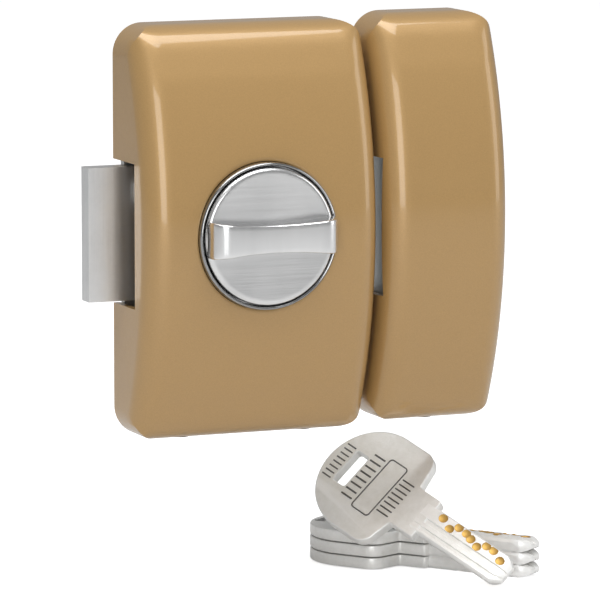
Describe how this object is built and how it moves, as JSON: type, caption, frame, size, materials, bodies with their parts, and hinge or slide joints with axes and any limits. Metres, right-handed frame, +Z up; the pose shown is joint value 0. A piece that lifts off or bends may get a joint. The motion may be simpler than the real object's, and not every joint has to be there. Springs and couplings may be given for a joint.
{
  "type": "rim night latch",
  "caption": "Surface-mounted rim bolt lock: bulged bronze-painted case, nickel thumb turn, rack-driven bolt, outside key cylinder, matching frame keeper and dimple keys",
  "frame": {"origin": "Axis of the thumb turn and the bolt's gearing, on the inner face of the door, which is the back of the case.", "axes": "+Z up the door, +X towards the keeper, the way the bolt is thrown, +Y from the room into the door; the room is on -Y."},
  "size_m": [0.1058, 0.0714, 0.1306],
  "materials": {
    "paint": "bronze metallic stove enamel, semi-gloss",
    "nickel": "bright nickel plate",
    "steel": "nickel-plated bright bar, brushed",
    "zinc": "zinc plate",
    "spring_steel": "polished spring steel",
    "brass": "machined brass"
  },
  "bodies": {
    "lock_case": {"case_cover": "paint", "backplate": "zinc", "upper_guide": "zinc", "lower_guides": "zinc", "guide_rivets": "zinc", "hub_bush": "brass", "turn_collar": "nickel", "detent_spring": "spring_steel", "detent_screw": "zinc", "cover_screws": "nickel", "cylinder_screws": "zinc", "cylinder_body": "brass", "driver_pins": "steel", "pin_springs": "spring_steel", "chamber_caps": "brass", "outside_ring": "nickel", "keeper_cover": "paint", "keeper_plate": "zinc", "keeper_screw": "nickel"},
    "turn": {"thumb_turn": "nickel", "turn_circlip": "spring_steel", "spindle": "steel", "drive_pinion": "brass"},
    "bolt_bar": {"bolt": "steel", "bolt_rack": "steel", "rack_rivets": "zinc"},
    "plug": {"cylinder_plug": "nickel", "key_pins": "brass", "tail_bar": "steel", "plug_circlip": "spring_steel"},
    "loose_key_1": {"key_1": "nickel"},
    "loose_key_2": {"key_2": "nickel"},
    "loose_key_3": {"key_3": "nickel"},
    "loose_key_4": {"key_4": "nickel"}
  },
  "joints": [
    {"name": "turn_spin", "type": "hinge", "parent": "lock_case", "child": "turn", "pos_m": [0, 0, 0], "axis": [0, 1, 0], "range_deg": [0, 180]},
    {"name": "bolt_throw", "type": "slide", "parent": "lock_case", "child": "bolt_bar", "axis": [1, 0, 0], "range_m": [0, 0.01886], "deforming": ["detent_spring"]},
    {"name": "plug_spin", "type": "hinge", "parent": "lock_case", "child": "plug", "pos_m": [0, 0, 0], "axis": [0, 1, 0], "range_deg": [0, 180]},
    {"name": "key_1_slide", "type": "slide", "parent": "lock_case", "child": "loose_key_1", "axis": [0, -1, 0], "range_m": [0, 0.015]},
    {"name": "key_2_slide", "type": "slide", "parent": "loose_key_1", "child": "loose_key_2", "axis": [0, -1, 0], "range_m": [0, 0.015]},
    {"name": "key_3_slide", "type": "slide", "parent": "loose_key_2", "child": "loose_key_3", "axis": [0, -1, 0], "range_m": [0, 0.015]},
    {"name": "key_4_slide", "type": "slide", "parent": "loose_key_3", "child": "loose_key_4", "axis": [0, -1, 0], "range_m": [0, 0.015]}
  ],
  "couplings": [
    {"joint": "bolt_throw", "follows": "turn_spin", "m_per_rad": 0.006},
    {"joint": "plug_spin", "follows": "turn_spin", "ratio": 1}
  ]
}
